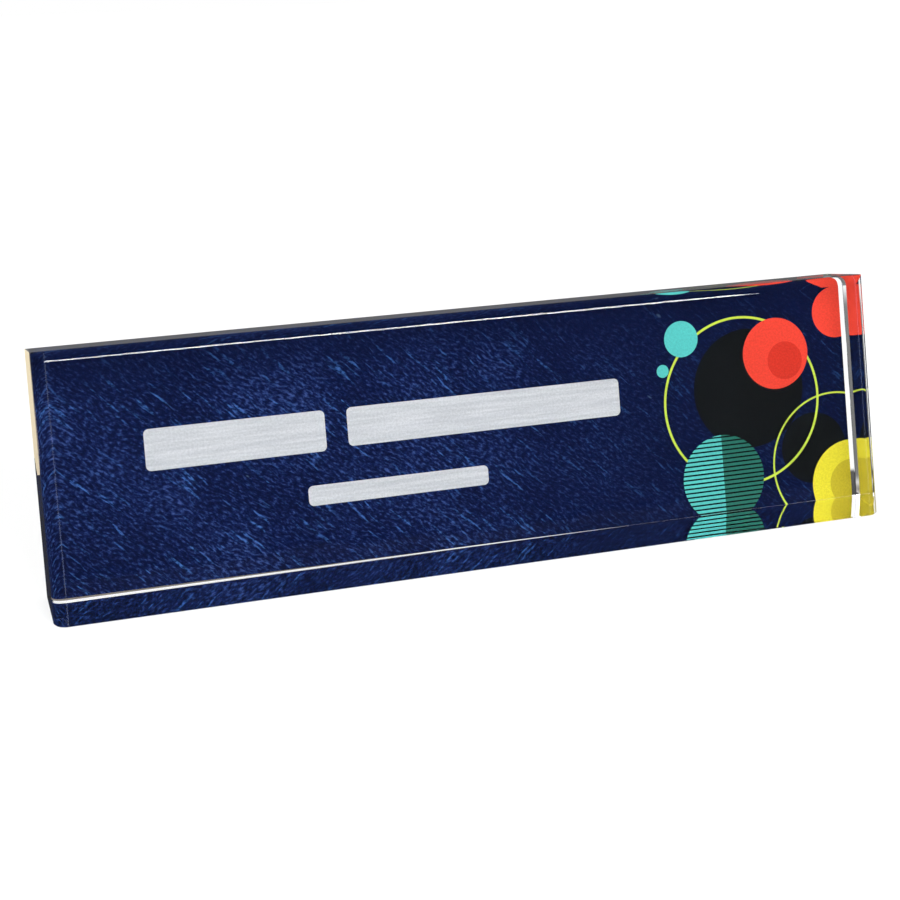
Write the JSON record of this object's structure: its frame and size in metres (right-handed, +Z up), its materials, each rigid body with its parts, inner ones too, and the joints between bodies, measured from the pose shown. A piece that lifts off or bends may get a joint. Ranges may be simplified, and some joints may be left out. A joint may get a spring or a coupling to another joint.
{
  "type": "desk name plate",
  "caption": "Free-standing clear acrylic desk name plate that leans back on its angled base, with a picture printed in reverse on its back face.",
  "frame": {"origin": "middle of the overall footprint, on the desk", "axes": "+X along the plate's length, to the right as it is read; +Y towards the printed back; +Z up"},
  "size_m": [0.2032, 0.0292, 0.059],
  "materials": {
    "clear_acrylic": "polished",
    "colour_ink": "printed ink",
    "white_ink": "printed ink"
  },
  "bodies": {
    "root": {"acrylic_block": "clear_acrylic", "colour_print": "colour_ink", "white_backing": "white_ink"}
  },
  "joints": []
}
